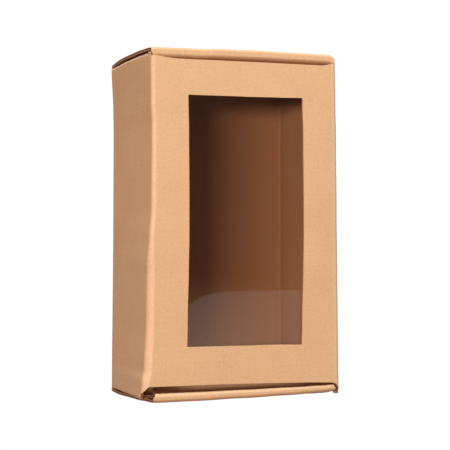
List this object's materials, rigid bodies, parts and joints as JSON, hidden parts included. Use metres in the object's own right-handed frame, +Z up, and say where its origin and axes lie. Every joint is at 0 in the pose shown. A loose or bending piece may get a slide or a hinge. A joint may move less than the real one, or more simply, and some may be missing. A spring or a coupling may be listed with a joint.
{
  "type": "windowed carton",
  "caption": "Plain kraft corrugated tuck-end carton with a tall film-covered window in the front wall, a hinged lid and a hinged bottom flap.",
  "frame": {"origin": "under the middle of the carton, on the surface that it stands on", "axes": "+Z up, the window faces -Y, the width runs along X and the depth along Y"},
  "size_m": [0.118, 0.0864, 0.2067],
  "materials": {
    "kraft_board": "uncoated brown kraft liner with fine fibres and faint fluting",
    "clear_film": "clear glossy plastic film"
  },
  "bodies": {
    "body": {"carton_body": "kraft_board", "window_film": "clear_film"},
    "lid": {"top_lid": "kraft_board"},
    "bottom": {"bottom_flap": "kraft_board"}
  },
  "joints": [
    {"name": "lid_hinge", "type": "hinge", "parent": "body", "child": "lid", "pos_m": [0, 0.04335, 0.20242], "axis": [-1, 0, 0], "range_deg": [0, 180]},
    {"name": "bottom_hinge", "type": "hinge", "parent": "body", "child": "bottom", "pos_m": [0, 0.04335, 0.00242], "axis": [1, 0, 0], "range_deg": [0, 180]}
  ]
}
